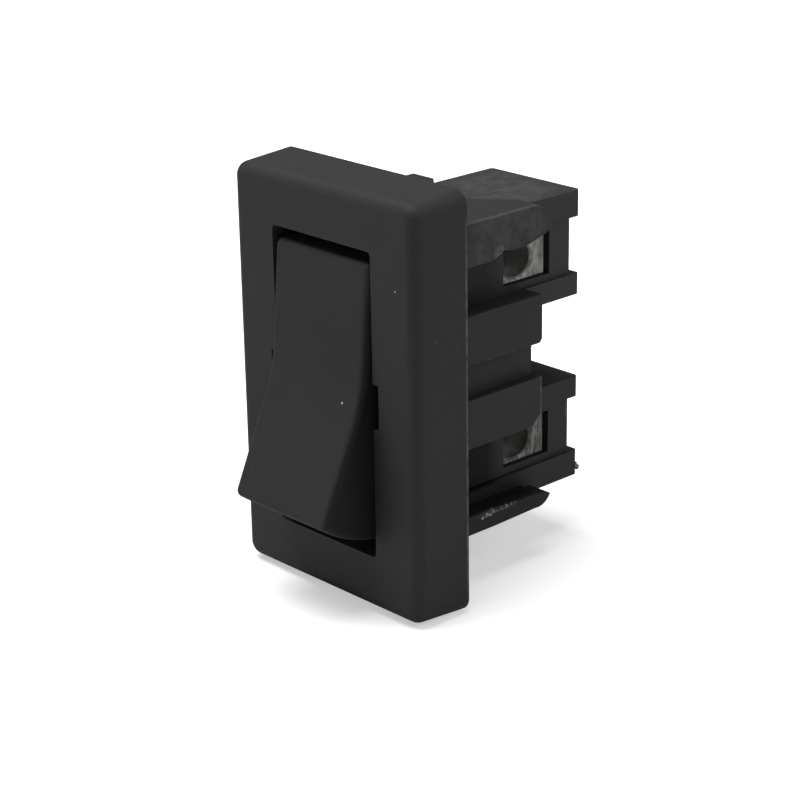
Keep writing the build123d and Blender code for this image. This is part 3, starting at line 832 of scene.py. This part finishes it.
class SWITCH_OT_set_stage(bpy.types.Operator):
    """Lay the floor and set the lamps and the camera"""

    bl_idname = "switch.set_stage"
    bl_label = "Floor, lamps and camera"

    def execute(self, context):
        stage = context.scene.switch_stage
        self.lay_floor(stage)
        self.light_room(context, stage)
        self.set_camera(context, stage)
        context.scene.view_settings.view_transform = "Standard"
        return {"FINISHED"}

    def lay_floor(self, stage):
        material, tree, shader, place = blank_material("pale_paper")
        shader.inputs["Roughness"].default_value = 0.9
        bump = height(tree, noise(tree, place, 1.5 * MM, 3.0), 0.01 * MM)
        tree.links.new(bump, shader.inputs["Normal"])
        path = put(tree, "ShaderNodeLightPath")
        paper = mixed(tree, path.outputs["Is Camera Ray"], stage.bounce, stage.paper)
        tree.links.new(paper, shader.inputs["Base Color"])
        shader.inputs["Emission Color"].default_value = WHITE
        away = put(tree, "ShaderNodeVectorMath", {0: place}, operation="LENGTH").outputs["Value"]
        glow = ramp(tree, away, stage.clear_from, stage.clear_to, stage.glow, 1.0)
        glow = maths(tree, "MULTIPLY", glow, path.outputs["Is Camera Ray"])
        tree.links.new(glow, shader.inputs["Emission Strength"])
        shape = bmesh.new()
        bmesh.ops.create_grid(shape, x_segments=1, y_segments=1, size=2.0)
        bmesh.ops.translate(shape, verts=shape.verts, vec=(0, 0, cad_box[0].z))
        mesh = bpy.data.meshes.new("floor")
        shape.to_mesh(mesh)
        shape.free()
        mesh.materials.append(material)
        floor = bpy.data.objects.new("floor", mesh)
        bpy.context.scene.collection.objects.link(floor)

    def light_room(self, context, stage):
        world = bpy.data.worlds.new("white_room")
        context.scene.world = world
        world.use_nodes = True
        tree = world.node_tree
        tree.nodes.clear()
        path = put(tree, "ShaderNodeLightPath")
        strength = ramp(tree, path.outputs["Is Glossy Ray"], 0.0, 1.0, stage.ambient, stage.gloss)
        seen = maths(tree, "ADD", path.outputs["Is Camera Ray"], path.outputs["Is Transmission Ray"])
        strength = put(tree, "ShaderNodeMix", {0: seen, 2: strength, 3: 1.0}).outputs[0]
        glow = put(tree, "ShaderNodeBackground", {"Color": WHITE, "Strength": strength})
        put(tree, "ShaderNodeOutputWorld", {"Surface": glow.outputs["Background"]})
        for side, place, size in LAMPS:
            area_lamp(side + "_lamp", place, size, getattr(stage, side))

    def set_camera(self, context, stage):
        right, up, back, turned_right, turned_up = camera_axes(stage)
        camera = bpy.data.cameras.new("camera")
        camera.lens = stage.focal
        camera.sensor_width = 36.0
        camera.clip_start = 10 * MM
        holder = bpy.data.objects.new("camera", camera)
        place = back * stage.distance + right * stage.offset_right + up * stage.offset_up
        turn = Matrix((turned_right, turned_up, back)).transposed()
        holder.matrix_world = Matrix.Translation(place) @ turn.to_4x4()
        context.scene.collection.objects.link(holder)
        context.scene.camera = holder


class SWITCH_PT_panel(bpy.types.Panel):
    """Lists the switch's pieces and their settings"""

    bl_label = "Rocker switch"
    bl_idname = "SWITCH_PT_panel"
    bl_space_type = "VIEW_3D"
    bl_region_type = "UI"
    bl_category = "Rocker switch"

    def draw(self, context):
        for operator in OPERATORS:
            self.layout.operator(operator.bl_idname)
        for name in SETTINGS:
            group = getattr(context.scene, name)
            box = self.layout.box()
            box.label(text=group.bl_rna.description)
            for key in group.bl_rna.properties.keys():
                if key not in ("rna_type", "name"):
                    box.prop(group, key)


SETTINGS = {
    "switch_housing": HousingFinish,
    "switch_rocker": RockerFinish,
    "switch_base": BaseFinish,
    "switch_metal": MetalFinish,
    "switch_screws": ScrewSizes,
    "switch_stage": StageSettings,
}
OPERATORS = (
    SWITCH_OT_mould_housing,
    SWITCH_OT_mould_rocker,
    SWITCH_OT_mould_base,
    SWITCH_OT_scatter_crumbs,
    SWITCH_OT_plate_terminals,
    SWITCH_OT_cut_screws,
    SWITCH_OT_stamp_contacts,
    SWITCH_OT_fit_plunger,
    SWITCH_OT_set_stage,
)


def register():
    for group in SETTINGS.values():
        bpy.utils.register_class(group)
    for name, group in SETTINGS.items():
        setattr(bpy.types.Scene, name, PointerProperty(type=group))
    for operator in OPERATORS:
        bpy.utils.register_class(operator)
    bpy.utils.register_class(SWITCH_PT_panel)


def unregister():
    bpy.utils.unregister_class(SWITCH_PT_panel)
    for operator in reversed(OPERATORS):
        bpy.utils.unregister_class(operator)
    for name, group in reversed(SETTINGS.items()):
        delattr(bpy.types.Scene, name)
        bpy.utils.unregister_class(group)


def main():
    register()
    bpy.ops.switch.mould_housing()
    bpy.ops.switch.mould_rocker()
    bpy.ops.switch.mould_base()
    bpy.ops.switch.scatter_crumbs()
    bpy.ops.switch.plate_terminals()
    bpy.ops.switch.cut_screws()
    bpy.ops.switch.stamp_contacts()
    bpy.ops.switch.fit_plunger()
    bpy.ops.switch.set_stage()


if __name__ == "__main__":
    main()
